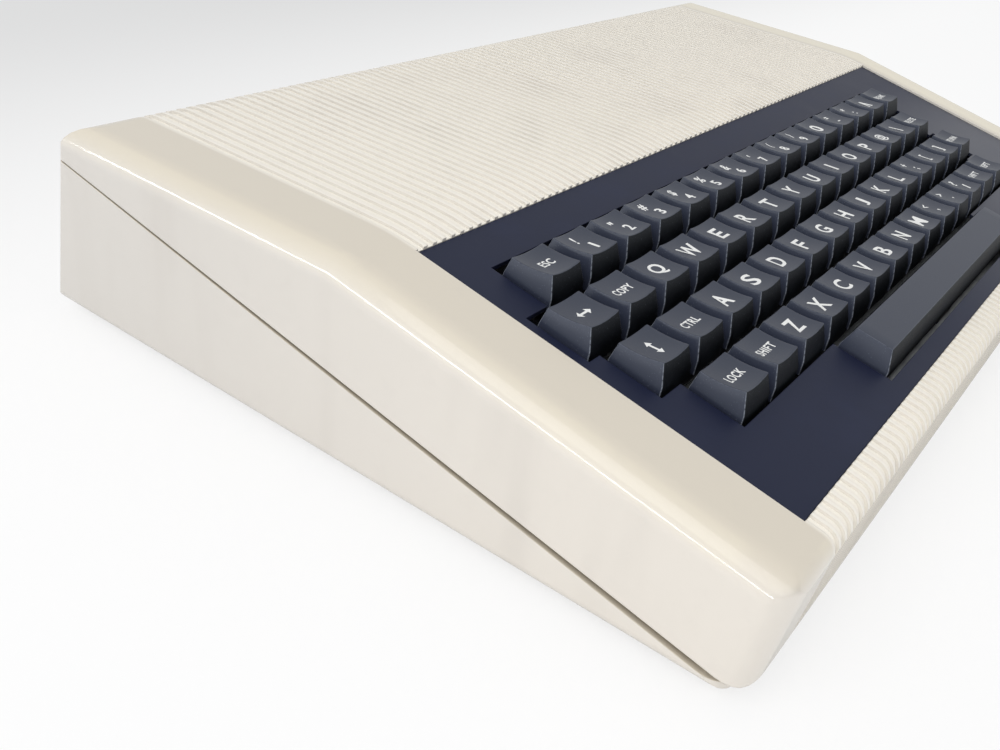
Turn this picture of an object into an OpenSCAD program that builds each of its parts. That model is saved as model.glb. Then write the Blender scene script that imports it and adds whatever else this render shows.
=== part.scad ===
// A wedge-shaped home computer of the early 1980s: two case halves, a full keyboard and its
// electronics. The origin is at the middle of the base, on the surface that it stands on.
// X runs to the right, Y to the back and Z up.

/* [Case] */
// Width of the case on either side of the surround
side_border = 22.5; // [20:0.5:25]
// Depth of the case
case_d = 246; // [241:1:248]
// Height of the case on its feet
case_h = 63.5; // [62.5:0.1:66]
// Thickness of the case walls
wall = 2.5; // [2:0.1:2.8]
// Slope of the keyboard, in degrees
tilt = 10.2; // [9.5:0.1:10.6]
// Lean of the rear wall, whose foot stands further back than its top, in degrees
rear_lean = 8.5; // [7:0.1:9.5]
// Lean of the front face, whose foot is set back under the nose, in degrees
front_lean = 6; // [4:0.1:7]
// Radius of the long top edges
edge_r = 8; // [6:0.5:9]
// Radius of the long edge at the top of the rear wall
rear_edge_r = 11; // [8:0.5:12]
// Radius of the upright front corners
corner_r = 8; // [5:0.5:10]
// Radius of the upright rear corners
rear_corner_r = 1.6; // [1:0.1:3]
// Radius of the nose between the slope and the front face
front_r = 5; // [4:0.5:6]
// Radius of the bend between the flat top and the slope
bend_r = 90; // [60:5:110]
// Radius of the bottom edges
base_r = 4; // [3:0.5:5]
// Height of the seam at the very front
seam_front = 5.7; // [5.4:0.1:7]
// Height of the seam at the very back
seam_rear = 53.8; // [51:0.1:54]
// Opening of the seam at the front
seam_gap = 2.2; // [1:0.1:2.4]
// Height of the rubber feet
foot_h = 3; // [2:0.1:3.2]
// Diameter of the rubber feet
foot_d = 14; // [10:0.5:18]

/* [Ribs] */
// Distance from rib to rib
rib_pitch = 3.81; // [3:0.01:5]
// Width of a rib
rib_w = 1.4; // [1:0.1:1.8]
// Depth of the valleys between the ribs
rib_h = 0.8; // [0.5:0.1:0.9]

/* [Keyboard] */
// Width of the dark surround left of the keys
panel_left = 4.45; // [4:0.05:5]
// Width of the dark surround right of the keys
panel_right = 36.275; // [35:0.025:38]
// Depth of the dark surround behind the keys
panel_rear = 15.1; // [14.5:0.1:16]
// Depth of the dark surround in front of the keys
panel_front = 6.25; // [6:0.05:7]
// Thickness of the dark surround
panel_t = 1.5; // [1.2:0.1:1.8]
// Depth of the surround under the case's surface
panel_sink = 0.9; // [0.6:0.1:1.1]
// Width of the case's front lip in front of the surround
front_lip = 8.8; // [8:0.1:9.5]
// Distance from key to key
key_pitch = 19.05; // [18.8:0.05:19.2]
// Gap between the feet of neighbouring keycaps
cap_gap = 0.95; // [0.85:0.05:1.45]
// How much narrower a keycap is at its top than at its foot
cap_draw = 5.3; // [4.7:0.1:6]
// Height of a keycap's front corners over the surround
cap_rise = 7; // [6:0.1:8]
// Radius of the hollow in a keycap's top
dish_r = 33; // [28:1:45]
// Wall of a keycap
cap_wall = 1.3; // [1:0.1:1.6]
// Travel of a key
key_travel = 3.8; // [3:0.1:4]
// Gap between the surround and a row's cell
row_gap = 0.5; // [0.3:0.1:0.8]

/* [Hidden] */
$fn = 48;
arc_angle = 16;              // largest turn between points of a rounded corner, in degrees
far = 400;                   // reaches past the case on every side
fit = 0.3;                   // running and seating clearance

// Keyboard block: its widest span, in key pitches, and its rows
block_span = 15.5;
rows = 5;
panel_w = panel_left + block_span*key_pitch + panel_right;
panel_d = panel_rear + rows*key_pitch + panel_front;
case_w = panel_w + 2*side_border;
cap_base = key_pitch - cap_gap;
cap_top = cap_base - cap_draw;

// Surround frame: its origin is the middle of the surround's rear edge, on the upper face
panel_y = -case_d/2 + front_lip + panel_d*cos(tilt);
panel_drop = 2.5;            // surround's rear edge under the flat top
panel_z = case_h - panel_drop;

// Seam between the halves
seam_slope = (seam_rear - seam_front)/case_d;
seam_tilt = atan(seam_slope);
front_set_back = 7.4;        // lower half's front behind the upper half's nose
rim_gap_rear = 0.4;          // seam's opening at the back
rim_wall = 1.5;              // thickness of the inner rim
rim_rise = 2;                // how far the inner rim stands over the seam
rim_depth = 6;               // how far it reaches down inside the wall

// Keyboard places, in the surround frame
esc_x = -panel_w/2 + panel_left + key_pitch; // centre of the first key of the first row
esc_y = -panel_rear - key_pitch/2;
row_offset = [0, -0.5, -0.25, 0.25];
row_count = [15, 15, 15, 14];
space_first = 2.87;          // left end of the space bar's cell, in key pitches
space_len = 7.76;            // its length, in key pitches
space_row = 4;
cap_foot = 3.5;              // keycap's foot under the surround's face
cap_ceiling = 2.6;           // height of the hollow inside a keycap
space_top_d = 11.2;          // depth of the space bar's top

// Switches
housing_w = 13.8;
flange_w = 15.6;
flange_t = 1.1;
neck_w = 7.6;
neck_top = -5;
plunger_w = 4.4;
plunger_end = -13.2;
plate_t = 1.5;
plate_top = -9;
plate_w = panel_w;
plate_d = panel_d - 4;
plate_rear = -2;
key_board_top = -19.5;
key_board_t = 1.6;
key_board_w = panel_w - 36;
key_board_x = -8;

// Key sockets, stems and guides
socket_w = 6.4;
socket_foot = 0.4;
tenon_w = 3;
tenon_h = 2.4;
stem_d = 4;
guide_d = 9;

// Opening in the upper half under the surround, and the ledge that carries it
ledge_w = 4;
ledge_t = 2.2;
ledge_bottom = -panel_t - ledge_t;

// Loudspeaker
speaker_d = 44;
speaker_x = -case_w/2 + 90.5;
speaker_y = -case_d/2 + 37;
speaker_rim_h = 3;
speaker_cone_h = 6;
speaker_magnet_h = 5;

// Main board, behind the loudspeaker
board_z = 12;
board_t = 1.6;
board_top = board_z + board_t;
board_w = case_w - 51;
board_front = speaker_y + speaker_d/2 + 4;
board_rear = case_d/2 - 19;
board_d = board_rear - board_front;
floor_top = foot_h + wall;

// Upper half
lip_r = 3;                   // radius of the front face's lower edge
rib_foot = 11;               // height where the ribs end on the front face
panel_gap = 0.2;             // between the surround's edge and its pocket
ledge_margin = 3;

// Fastenings
post_d = 7;
post_hole = 2.6;
screw_shank = 2.2;
board_posts = [for (side = [-1, 1], y = [board_front + 10, board_front + board_d/2, board_rear - 18])
    [side*(board_w/2 - 10), y]];
boss_d = 7.5;
boss_places = [for (side = [-1, 1], y = [-case_d/2 + 27, case_d/2 - 31]) [side*(case_w/2 - 12.5), y]];
boss_bottom = 10.3;
sleeve_d = 9.5;
sleeve_top = 10;
sleeve_seat = 5.5;
head_d = 5.6;
head_h = 2;
foot_places = [for (x = [-1, 1], y = [-1, 1]) [x*(case_w/2 - 30.5), y*(case_d/2 - 24)]];
plate_posts = [for (side = [-1, 1], y = [-8, -panel_d/2 - 4, -panel_d + 8]) [side*(panel_w/2 - 2.5), y]];
plate_post_d = 5;
plate_hole = 4.5;            // depth of a plate post's screw hole
boss_hole = 11;              // depth of a case boss's screw hole

// Slots in the floor under the warm rear of the board
slot_count = 9;
slot_pitch = 7;
slot_w = 3;
slot_len = 36;
slot_y = board_rear - 54;
slot_x = board_w*0.27;

// Heat sink and its regulators
sink_x = board_w/2 - 35;
sink_y = board_front + board_d*0.62;
sink_w = 44;
sink_d = 20;
sink_h = 24;
sink_t = 2;
regulator_x = 14;
regulator_w = 10;
regulator_t = 3.2;
regulator_h = 9;
tab_t = 1.3;
tab_h = 19;

// Rear sockets: centre along X, and the height of their axes
socket_z = 23;
socket_end = case_d/2 - 2.5; // how far back the sockets reach
phono_bore = 3.3;
din_ring = 13.4;
din_pin_r = 3.5;
power_x = board_w/2 - 15;
modulator_x = power_x - 38;
cassette_x = modulator_x - 42;
bus_x = -board_w/2 + 70;
printer_x = cassette_x - (cassette_x - bus_x)*0.4;
bus_w = 95;
bus_h = 11;
printer_w = 42;
printer_h = 9.5;
din_d = 15.4;
phono_d = 9.6;
power_d = 9;
opening_reach = 15;          // how far the cutters of the rear openings start in front of the rear
modulator_size = [32, 31, 19];
cassette_size = [20, 15, 18];
power_size = [12, 14, 14];
socket_depth = 8;            // depth of a connector's cavity
shroud_t = 1.4;
web_t = 4;                   // foot under a connector

// Chips and small parts on the main board
pin_step = 2.54;
pin_w = 0.64;
chip_lift = 0.8;
chip_h = 3.4;
leg_w = 1;
leg_h = 2.4;
wide_row = 15.2;
narrow_row = 7.6;
can_d = 16;
can_h = 25;
small_can_d = 6.3;
small_can_h = 8;
crystal_w = 6.6;
crystal_d = 4.6;
crystal_h = 13;

// Flat cable between the boards
link_x = modulator_x - 52;
link_w = 48;
link_y = -14;
link_z = -26.5;
link_foot_y = board_front + board_d*0.44;
plug_w = 6;
plug_h = 8;
cable_t = 0.5;

// Keys that are nodes of their own, as [name, row, place in the row]
single_keys = [
    ["key_escape", 0, 0], ["key_1", 0, 1], ["key_2", 0, 2], ["key_3", 0, 3],
    ["key_4", 0, 4], ["key_5", 0, 5], ["key_6", 0, 6], ["key_break", 0, 14],
    ["key_sideways", 1, 0], ["key_copy", 1, 1], ["key_q", 1, 2], ["key_w", 1, 3],
    ["key_e", 1, 4], ["key_r", 1, 5], ["key_t", 1, 6],
    ["key_upright", 2, 0], ["key_ctrl", 2, 1], ["key_a", 2, 2], ["key_s", 2, 3],
    ["key_d", 2, 4], ["key_f", 2, 5], ["key_g", 2, 6], ["key_return", 2, 14],
    ["key_lock", 3, 0], ["key_shift", 3, 1], ["key_z", 3, 2], ["key_x", 3, 3],
    ["key_c", 3, 4], ["key_v", 3, 5], ["key_b", 3, 6]
];
// The rest of each row is one bank: name, row, first and last place
key_banks = [
    ["keys_7_to_caret", 0, 7, 13],
    ["keys_y_to_delete", 1, 7, 14],
    ["keys_h_to_bracket", 2, 7, 13],
    ["keys_n_to_repeat", 3, 7, 13]
];

// ---- Geometry helpers ----

// Unit vector of v
function unit(v) = v/norm(v);

// Points of the arc of radius r that rounds the corner v between a and b
function corner(a, v, b, r) =
    let (u = unit(a - v), w = unit(b - v),
         half = acos(u*w)/2,
         c = v + unit(u + w)*r/sin(half),
         p = v + u*r/tan(half) - c,
         q = v + w*r/tan(half) - c,
         start = atan2(p[1], p[0]),
         turn = atan2(p[0]*q[1] - p[1]*q[0], p*q),
         steps = max(3, ceil(abs(turn)/arc_angle)))
    [for (i = [0:steps]) c + r*[cos(start + turn*i/steps), sin(start + turn*i/steps)]];

// Outline with every corner rounded: corners are [x, y, radius], and 0 stays sharp
function rounded(corners) =
    let (n = len(corners), at = function (i) let (c = corners[(i + n) % n]) [c[0], c[1]])
    [for (i = [0:n - 1], p = corners[i][2] > 0
        ? corner(at(i - 1), at(i), at(i + 1), corners[i][2])
        : [at(i)]) p];

// Turns a shape drawn in the YZ plane into a bar along X, from x0 over a width
module along_x(x0, width) translate([x0, 0, 0]) rotate([90, 0, 90]) linear_extrude(width) children();

// Turns a shape drawn in the XZ plane into a bar along Y that reaches past the case
module along_y() translate([0, far/2, 0]) rotate([90, 0, 0]) linear_extrude(far) children();

// Places children in the surround frame
module on_slope() translate([0, panel_y, panel_z]) rotate([tilt, 0, 0]) children();

// Heights of the outer surfaces
function slope_z(y, inset) = panel_z + (y - panel_y)*tan(tilt) + (panel_sink - inset)/cos(tilt);
function bend_y(inset) =
    panel_y + (case_h - inset - panel_z - (panel_sink - inset)/cos(tilt))/tan(tilt);
// Middle of the nose's rounding
nose_y = -case_d/2 + front_r;
nose_z = slope_z(nose_y, front_r);
function front_y(z, inset) =
    nose_y + (nose_z - z)*tan(front_lean) - (front_r - inset)/cos(front_lean);
function rear_y(z, inset) =
    case_d/2 + base_r*(tan(rear_lean) + 1/cos(rear_lean) - 1)
    - (z - foot_h)*tan(rear_lean) - inset/cos(rear_lean);
function seam_z(y) = seam_front + (y + case_d/2)*seam_slope;
function rim_z(y) =
    seam_z(y) - rim_gap_rear - (seam_gap - rim_gap_rear)*(case_d/2 - y)/case_d;
// The seam's height where it meets the rear wall
function seam_at_rear(inset) =
    let (y0 = rear_y(seam_rear, inset)) seam_z(rear_y(seam_z(y0), inset));
function shrunk(r, inset) = max(r - inset, 0.4);

// ---- Case ----

// Side outline of the upper half, down to a depth under the seam
function upper_outline(inset, under) =
    let (foot_z = seam_z(front_y(seam_front, inset)) - under,
         foot_y = front_y(foot_z, inset),
         top_y = front_y(slope_z(nose_y, inset), inset),
         zr = seam_at_rear(inset) - under)
    rounded([
        [foot_y, foot_z, inset > 0 ? 0 : lip_r],
        [top_y, slope_z(top_y, inset), shrunk(front_r, inset)],
        [bend_y(inset), case_h - inset, bend_r - inset],
        [rear_y(case_h - inset, inset), case_h - inset, shrunk(rear_edge_r, inset)],
        [rear_y(zr, inset), zr, 0]]);

// Side outline of the lower half, up to a height over the rim
function lower_outline(inset, over) =
    let (front = -case_d/2 + front_set_back + inset, zr = rim_z(rear_y(seam_rear, inset)) + over)
    rounded([
        [front, rim_z(front) + over, 0],
        [rear_y(zr, inset), zr, 0],
        [rear_y(foot_h + inset, inset), foot_h + inset, shrunk(base_r, inset)],
        [front, foot_h + inset, inset > 0 ? 0 : 1.2]]);

// Prism with the two front corners rounded, behind a front line
module front_prism(inset)
    linear_extrude(2*far, center = true)
        polygon(rounded([
            [-case_w/2 + inset, 0, shrunk(corner_r, inset)],
            [case_w/2 - inset, 0, shrunk(corner_r, inset)],
            [case_w/2 - inset, far, 0],
            [-case_w/2 + inset, far, 0]]));

// Front corners of the upper half, along the lean of its front face
module upper_front_corners(inset)
    translate([0, front_y(0, inset), 0]) rotate([front_lean, 0, 0]) front_prism(inset);

// Upright front corners of the lower half
module lower_front_corners(inset)
    translate([0, -case_d/2 + front_set_back + inset, 0]) front_prism(inset);

// Prism along the lean of the rear wall with the two rear corners rounded
module rear_corners(inset)
    translate([0, rear_y(0, inset), 0]) rotate([rear_lean, 0, 0])
        linear_extrude(2*far, center = true)
            polygon(rounded([
                [-case_w/2 + inset, 0, shrunk(rear_corner_r, inset)],
                [-case_w/2 + inset, -far, 0],
                [case_w/2 - inset, -far, 0],
                [case_w/2 - inset, 0, shrunk(rear_corner_r, inset)]]));

// Arch section with rounded shoulders, its top at z = 0
module shoulders(inset)
    along_y() polygon(rounded([
        [-case_w/2 + inset, -far, 0],
        [-case_w/2 + inset, 0, shrunk(edge_r, inset)],
        [case_w/2 - inset, 0, shrunk(edge_r, inset)],
        [case_w/2 - inset, -far, 0]]));

// Trough section with rounded bottom edges
module bottom_edges(inset)
    along_y() polygon(rounded([
        [-case_w/2 + inset, far, 0],
        [-case_w/2 + inset, foot_h + inset, shrunk(base_r, inset)],
        [case_w/2 - inset, foot_h + inset, shrunk(base_r, inset)],
        [case_w/2 - inset, far, 0]]));

// Solid form of the upper half
module upper_form(inset, under)
    intersection() {
        along_x(-case_w/2, case_w) polygon(upper_outline(inset, under));
        upper_front_corners(inset);
        rear_corners(inset);
        on_slope() translate([0, 0, panel_sink - inset]) shoulders(inset);
        translate([0, 0, case_h - inset]) shoulders(inset);
    }

// Solid form of the lower half
module lower_form(inset, over)
    intersection() {
        along_x(-case_w/2, case_w) polygon(lower_outline(inset, over));
        lower_front_corners(inset);
        rear_corners(inset);
        bottom_edges(inset);
    }

// Run of the case's surface, from the front face over the top to the rear wall
function surface_run(inset) = concat(
    [[front_y(rib_foot, inset), rib_foot]],
    [for (p = upper_outline(inset, 0)) if (p[1] > rib_foot + 1) p],
    [[rear_y(case_h - rear_edge_r, inset), case_h - rear_edge_r]]);
function reversed(list) = [for (i = [len(list) - 1:-1:0]) list[i]];

// Cutter of one valley between two ribs
module valley(x)
    along_x(x, rib_pitch - rib_w)
        polygon(concat(surface_run(rib_h), reversed(surface_run(-2))));

// Ledge round the opening, on which the surround lies
module ledge()
    on_slope() difference() {
        translate([-panel_w/2 - ledge_margin, -panel_d - ledge_margin/2, ledge_bottom])
            cube([panel_w + 2*ledge_margin, panel_d + 1.5*ledge_margin, ledge_t + panel_t/2]);
        translate([-panel_w/2 + ledge_w, -panel_d + ledge_w, ledge_bottom - 1])
            cube([panel_w - 2*ledge_w, panel_d - 2*ledge_w, ledge_t + panel_t + 2]);
    }

// Pocket that the surround lies in, and the opening inside the ledge
module surround_pocket() {
    translate([-panel_w/2 - panel_gap, -panel_d - panel_gap, -panel_t])
        cube([panel_w + 2*panel_gap, panel_d + 2*panel_gap, far]);
    translate([-panel_w/2 + ledge_w, -panel_d + ledge_w, ledge_bottom - 1])
        cube([panel_w - 2*ledge_w, panel_d - 2*ledge_w, far]);
}

// Screw boss that hangs from the upper half's top
module screw_boss(p)
    intersection() {
        translate([p[0], p[1], boss_bottom]) cylinder(d = boss_d, h = case_h);
        upper_form(wall/2, seam_rear);
    }

// Post under the ledge that carries the switch plate
module plate_post(p)
    translate([p[0], p[1], plate_top]) cylinder(d = plate_post_d, h = ledge_bottom - plate_top + 1);

module upper_shell() color("ivory")
    difference() {
        union() {
            difference() {
                upper_form(0, 0);
                upper_form(wall, wall);
            }
            ledge();
            on_slope() for (p = plate_posts) plate_post(p);
            for (p = boss_places) screw_boss(p);
        }
        on_slope() surround_pocket();
        on_slope() for (p = plate_posts)
            translate([p[0], p[1], plate_top - 1]) cylinder(d = post_hole, h = plate_hole + 1);
        for (p = boss_places)
            translate([p[0], p[1], boss_bottom - 1]) cylinder(d = post_hole, h = boss_hole + 1);
        for (i = [0:floor(panel_w/rib_pitch) - 1])
            valley(-panel_w/2 + rib_w/2 + i*rib_pitch);
    }
upper_shell();

// Everything lower than a height over the rim
module under_rim(over)
    along_x(-far/2, far) polygon([
        [-far/2, -far], [-far/2, rim_z(-far/2) + over],
        [far/2, rim_z(far/2) + over], [far/2, -far]]);

// Inner rim that stands up inside the upper half's walls
module inner_rim()
    difference() {
        union() {
            lower_form(wall + fit, seam_gap + rim_rise);
            lower_form(wall/2, -1);
        }
        // Lowered so that the floor keeps its thickness
        translate([0, 0, -fit - rim_wall]) lower_form(wall + fit + rim_wall, far/4);
        under_rim(-rim_depth);
    }

// Openings in the rear wall for the sockets
module rear_openings() {
    for (s = [[power_x, power_d], [modulator_x, phono_d], [cassette_x, din_d]])
        translate([s[0], case_d/2 - opening_reach, socket_z]) rotate([-90, 0, 0])
            cylinder(d = s[1], h = 2*opening_reach);
    for (s = [[printer_x, printer_w, printer_h], [bus_x, bus_w, bus_h]])
        translate([s[0] - s[1]/2 - 1, case_d/2 - opening_reach, socket_z - s[2]/2 - 1])
            cube([s[1] + 2, 2*opening_reach, s[2] + 2]);
}

// Slots through the floor under the warm rear of the board and under the loudspeaker
module floor_slots() {
    for (side = [-1, 1], i = [0:slot_count - 1])
        translate([side*slot_x + (i - (slot_count - 1)/2)*slot_pitch - slot_w/2, slot_y, -1])
            cube([slot_w, slot_len, floor_top + 2]);
    for (i = [-2:2])
        translate([speaker_x + i*slot_pitch - slot_w/2, speaker_y - speaker_d/3, -1])
            cube([slot_w, speaker_d/1.5, floor_top + 2]);
}

module lower_shell() color("antiquewhite")
    difference() {
        union() {
            difference() {
                lower_form(0, 0);
                lower_form(wall, far/4);
            }
            inner_rim();
            for (p = board_posts)
                translate([p[0], p[1], floor_top - 1]) cylinder(d = post_d, h = board_z - floor_top + 1);
            for (p = boss_places)
                translate([p[0], p[1], floor_top - 1]) cylinder(d = sleeve_d, h = sleeve_top - floor_top + 1);
        }
        for (p = board_posts)
            translate([p[0], p[1], floor_top]) cylinder(d = post_hole, h = far);
        for (p = boss_places) translate([p[0], p[1], -1]) {
            cylinder(d = head_d + 1.2, h = sleeve_seat + 1);
            cylinder(d = post_hole + 0.8, h = far);
        }
        rear_openings();
        floor_slots();
    }
lower_shell();

// ---- Keyboard ----

// Left end of a row, and its length, in key pitches
function row_left(row) = row == space_row ? space_first : row_offset[row] - 0.5;
function row_length(row) = row == space_row ? space_len : row_count[row];
// Centre of a key
function key_x(row, place) = esc_x + (row_offset[row] + place)*key_pitch;
function row_y(row) = esc_y - row*key_pitch;
space_x = esc_x + (space_first + space_len/2)*key_pitch;
space_top_w = (space_len - 1)*key_pitch + cap_top;
space_base_w = (space_len - 1)*key_pitch + cap_base;
guide_x = [for (side = [-1, 1]) space_x + side*space_len*key_pitch*0.36];

module keyboard_surround() color("midnightblue")
    on_slope() difference() {
        translate([-panel_w/2, -panel_d, -panel_t]) cube([panel_w, panel_d, panel_t]);
        for (row = [0:space_row])
            translate([esc_x + row_left(row)*key_pitch - row_gap,
                       row_y(row) - key_pitch/2 - row_gap, -panel_t - 1])
                cube([row_length(row)*key_pitch + 2*row_gap, key_pitch + 2*row_gap, panel_t + 2]);
    }
keyboard_surround();

// Places children at every switch: the keys and the middle of the space bar
module at_switches() {
    for (row = [0:3], place = [0:row_count[row] - 1])
        translate([key_x(row, place), row_y(row), 0]) children();
    translate([space_x, row_y(space_row), 0]) children();
}

// Square bar along Z, centred
module bar(w, z0, z1) translate([-w/2, -w/2, z0]) cube([w, w, z1 - z0]);

module key_mounting_plate() color("darkgray")
    on_slope() difference() {
        translate([-plate_w/2, plate_rear - plate_d, plate_top - plate_t])
            cube([plate_w, plate_d, plate_t]);
        at_switches() bar(housing_w + 0.2, plate_top - plate_t - 1, plate_top + 1);
        for (x = guide_x) translate([x, row_y(space_row), plate_top - plate_t - 1])
            cylinder(d = guide_d + 0.2, h = plate_t + 2);
        for (p = plate_posts) translate([p[0], p[1], plate_top - plate_t - 1])
            cylinder(d = post_hole + 0.6, h = plate_t + 2);
    }
key_mounting_plate();

// One switch: square body through the plate, flange on it and a neck round the plunger
module housing()
    difference() {
        union() {
            bar(housing_w, key_board_top, plate_top);
            bar(flange_w, plate_top, plate_top + flange_t);
            bar(neck_w, plate_top + flange_t, neck_top);
        }
        bar(plunger_w + 2*fit, plunger_end - key_travel - 1, 0);
    }

module switch_housings() color("gainsboro") on_slope() at_switches() housing();
switch_housings();

module keyboard_board() color("seagreen")
    on_slope() translate([key_board_x - key_board_w/2, -plate_d, key_board_top - key_board_t])
        cube([key_board_w, plate_d - 4, key_board_t]);
keyboard_board();

// Sleeves in the plate that guide the two outer stems of the space bar
module space_bar_guides() color("whitesmoke")
    on_slope() for (x = guide_x) translate([x, row_y(space_row), 0])
        difference() {
            union() {
                translate([0, 0, key_board_top]) cylinder(d = guide_d, h = plate_top - key_board_top);
                translate([0, 0, plate_top]) cylinder(d = guide_d + 3, h = flange_t);
            }
            translate([0, 0, plunger_end - key_travel - 1]) cylinder(d = stem_d + 2*fit, h = far);
        }
space_bar_guides();

// Tapered block with its foot at cap_foot under the surround and its top at cap_rise,
// drawn in by a wall
module tapered(base_w, base_d, top_w, top_d, inset, top_z) {
    low = -cap_foot - (inset > 0 ? 1 : 0);
    // Half a side's width at a height
    function half(base, top, z) = base/2 - inset - (base - top)/2*(z + cap_foot)/(cap_rise + cap_foot);
    intersection() {
        rotate([90, 0, 90]) linear_extrude(base_w + 2, center = true) polygon([
            [-half(base_d, top_d, low), low], [half(base_d, top_d, low), low],
            [half(base_d, top_d, top_z), top_z], [-half(base_d, top_d, top_z), top_z]]);
        rotate([90, 0, 0]) linear_extrude(base_d + 2, center = true) polygon([
            [-half(base_w, top_w, low), low], [half(base_w, top_w, low), low],
            [half(base_w, top_w, top_z), top_z], [-half(base_w, top_w, top_z), top_z]]);
    }
}

// Sphere that hollows a keycap's top. The tops lie level, so it leans back on the slope.
module dish() {
    sag = dish_r - sqrt(dish_r*dish_r - cap_top*cap_top/2);
    middle = cap_rise - cap_top/2*tan(tilt) - sag;
    translate([0, 0, middle]) rotate([-tilt, 0, 0]) translate([0, 0, dish_r]) sphere(r = dish_r, $fn = 96);
}

// Plunger of a switch, with a tenon that the cap is pushed onto
module plunger() {
    bar(plunger_w, plunger_end, socket_foot);
    bar(tenon_w, socket_foot, socket_foot + tenon_h);
}

// Hollow keycap with a dished top and a socket for the plunger
module keycap() {
    difference() {
        union() {
            difference() {
                tapered(cap_base, cap_base, cap_top, cap_top, 0, cap_rise + 1);
                tapered(cap_base, cap_base, cap_top, cap_top, cap_wall, cap_ceiling);
            }
            bar(socket_w, socket_foot, cap_ceiling + cap_wall/2);
        }
        dish();
        bar(tenon_w + 0.2, socket_foot - 1, socket_foot + tenon_h + 0.1);
    }
}

// A key at its place
module key(row, place)
    on_slope() translate([key_x(row, place), row_y(row), 0]) {
        color("darkslategray") keycap();
        color("gainsboro") plunger();
    }
for (k = single_keys) key(k[1], k[2]);
for (b = key_banks) for (place = [b[2]:b[3]]) key(b[1], place);

// Space bar: flat top, hollow, with a socket over its switch and a stem at either end
module key_space() {
    ceiling = cap_rise - cap_wall - 0.5;
    on_slope() translate([space_x, row_y(space_row), 0]) {
        color("darkslategray") difference() {
            union() {
                difference() {
                    tapered(space_base_w, cap_base, space_top_w, space_top_d, 0, cap_rise - 0.5);
                    tapered(space_base_w, cap_base, space_top_w, space_top_d, cap_wall, ceiling);
                }
                bar(socket_w, socket_foot, ceiling + cap_wall/2);
                for (x = guide_x) translate([x - space_x, 0, plunger_end])
                    cylinder(d = stem_d, h = ceiling - plunger_end + cap_wall/2);
            }
            bar(tenon_w + 0.2, socket_foot - 1, socket_foot + tenon_h + 0.1);
        }
        color("gainsboro") plunger();
    }
}
key_space();

// Flat cable between the two boards, with a plug at either end
module keyboard_link() color("lightgray") {
    upper = [panel_y + link_y*cos(tilt) - link_z*sin(tilt), panel_z + link_y*sin(tilt) + link_z*cos(tilt)];
    lower = [link_foot_y, board_top + plug_h - 1];
    on_slope() translate([link_x - link_w/2, link_y - plug_w/2, link_z])
        cube([link_w, plug_w, key_board_top - key_board_t - link_z]);
    translate([link_x - link_w/2, link_foot_y - plug_w/2, board_top]) cube([link_w, plug_w, plug_h]);
    along_x(link_x - link_w/2 + 2, link_w - 4) polygon([
        lower - [cable_t, 0], upper + [-cable_t, 1], upper + [cable_t, 1], lower + [cable_t, 0]]);
}
keyboard_link();

// ---- Electronics ----

module main_board() color("darkgreen")
    difference() {
        translate([-board_w/2, board_front, board_z]) cube([board_w, board_d, board_t]);
        for (p = board_posts)
            translate([p[0], p[1], 0]) cylinder(d = post_hole + 0.6, h = case_h);
    }
main_board();

// Place on the board, as shares of its width from the middle and of its depth from the front
function on_board(across, deep) = [across*board_w, board_front + deep*board_d, board_top];

// Dual-in-line chip: a body of pins/2 places with a row of legs on either side
module chip(pins, row_w) {
    length = pins/2*pin_step;
    translate([-length/2, -row_w/2 + leg_w, chip_lift]) cube([length, row_w - 2*leg_w, chip_h]);
    for (side = [-1, 1]) translate([-length/2 + leg_w, side*(row_w/2 - 0.75*leg_w) - leg_w/2, 0])
        cube([length - 2*leg_w, leg_w, leg_h]);
}

module large_chips() color("dimgray")
    for (i = [0:2]) translate(on_board(-0.32 + i*0.2, 0.17)) chip(40, wide_row);
large_chips();

module memory_chips() color("dimgray")
    for (i = [0:4], j = [0:1]) translate(on_board(-0.38 + i*0.094, 0.61 + j*0.11)) chip(18, narrow_row);
memory_chips();

module logic_chips() color("dimgray")
    for (i = [0:5], j = [0:1]) translate(on_board(-0.38 + i*0.088, 0.35 + j*0.11)) chip(16, narrow_row);
logic_chips();

module crystal() color("silver")
    translate([modulator_x - 64, on_board(0, 0.67)[1], board_top]) {
        translate([-crystal_w/2, -crystal_d/2, 0]) cube([crystal_w, crystal_d, crystal_h]);
        for (side = [-1, 1]) translate([side*crystal_w/2, 0, 0]) cylinder(d = crystal_d, h = crystal_h);
    }
crystal();

module capacitors() color("steelblue") {
    for (x = [-54, -32]) translate([modulator_x + x, on_board(0, 0.83)[1], board_top])
        cylinder(d = can_d, h = can_h);
    for (x = [-0.4, -0.1, 0.29]) translate(on_board(x, 0.05)) cylinder(d = small_can_d, h = small_can_h);
}
capacitors();

// Bent channel that cools the regulators
module heat_sink() color("silver")
    translate([sink_x - sink_w/2, sink_y, board_top]) difference() {
        cube([sink_w, sink_d, sink_h]);
        translate([-1, sink_t, sink_t]) cube([sink_w + 2, sink_d - 2*sink_t, sink_h]);
    }
heat_sink();

// Flat regulators against the channel's inner face, each with its metal tab
module voltage_regulators() color("dimgray")
    for (side = [-1, 1])
        translate([sink_x + side*regulator_x - regulator_w/2, sink_y + sink_t, board_top + sink_t]) {
            cube([regulator_w, tab_t, tab_h]);
            translate([0, tab_t, 0]) cube([regulator_w, regulator_t, regulator_h]);
        }
voltage_regulators();

// Barrel of a rear socket, from a face out through the wall
module barrel(x, y0, y1, d) translate([x, y0, socket_z]) rotate([-90, 0, 0]) cylinder(d = d, h = y1 - y0);

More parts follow.
